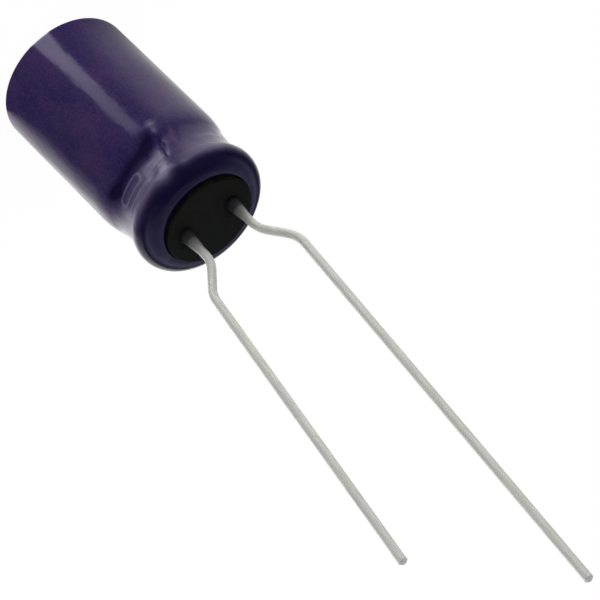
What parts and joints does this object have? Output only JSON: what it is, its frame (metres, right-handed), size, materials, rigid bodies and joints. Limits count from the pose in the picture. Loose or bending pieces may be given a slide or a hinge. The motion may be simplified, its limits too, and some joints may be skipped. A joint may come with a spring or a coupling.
{
  "type": "electrolytic capacitor",
  "caption": "Small radial aluminium electrolytic capacitor with a dark indigo sleeve, black rubber bung and two splayed tinned leads.",
  "frame": {"origin": "centre of the closed head, on the surface that the capacitor stands on", "axes": "+Z along the axis of the can, from the head to the leads; +X from the short cathode lead to the long anode lead"},
  "size_m": [0.0079, 0.0064, 0.0366],
  "materials": {
    "sleeve_film": "glossy shrink film, dark indigo",
    "can_aluminium": "drawn, satin",
    "bung_rubber": "moulded, matte",
    "etched_foil": "etched, matte",
    "plain_foil": "rolled, satin",
    "separator_paper": "soaked kraft paper",
    "tape_film": "thin adhesive film",
    "tab_aluminium": "pressed, satin",
    "tinned_wire": "tin-plated, satin"
  },
  "bodies": {
    "root": {"sleeve": "sleeve_film", "can": "can_aluminium", "rubber_bung": "bung_rubber", "anode_foil": "etched_foil", "inner_separator": "separator_paper", "cathode_foil": "plain_foil", "outer_separator": "separator_paper", "closing_tape": "tape_film", "anode_tab": "tab_aluminium", "cathode_tab": "tab_aluminium", "anode_lead": "tinned_wire", "cathode_lead": "tinned_wire"}
  },
  "joints": []
}
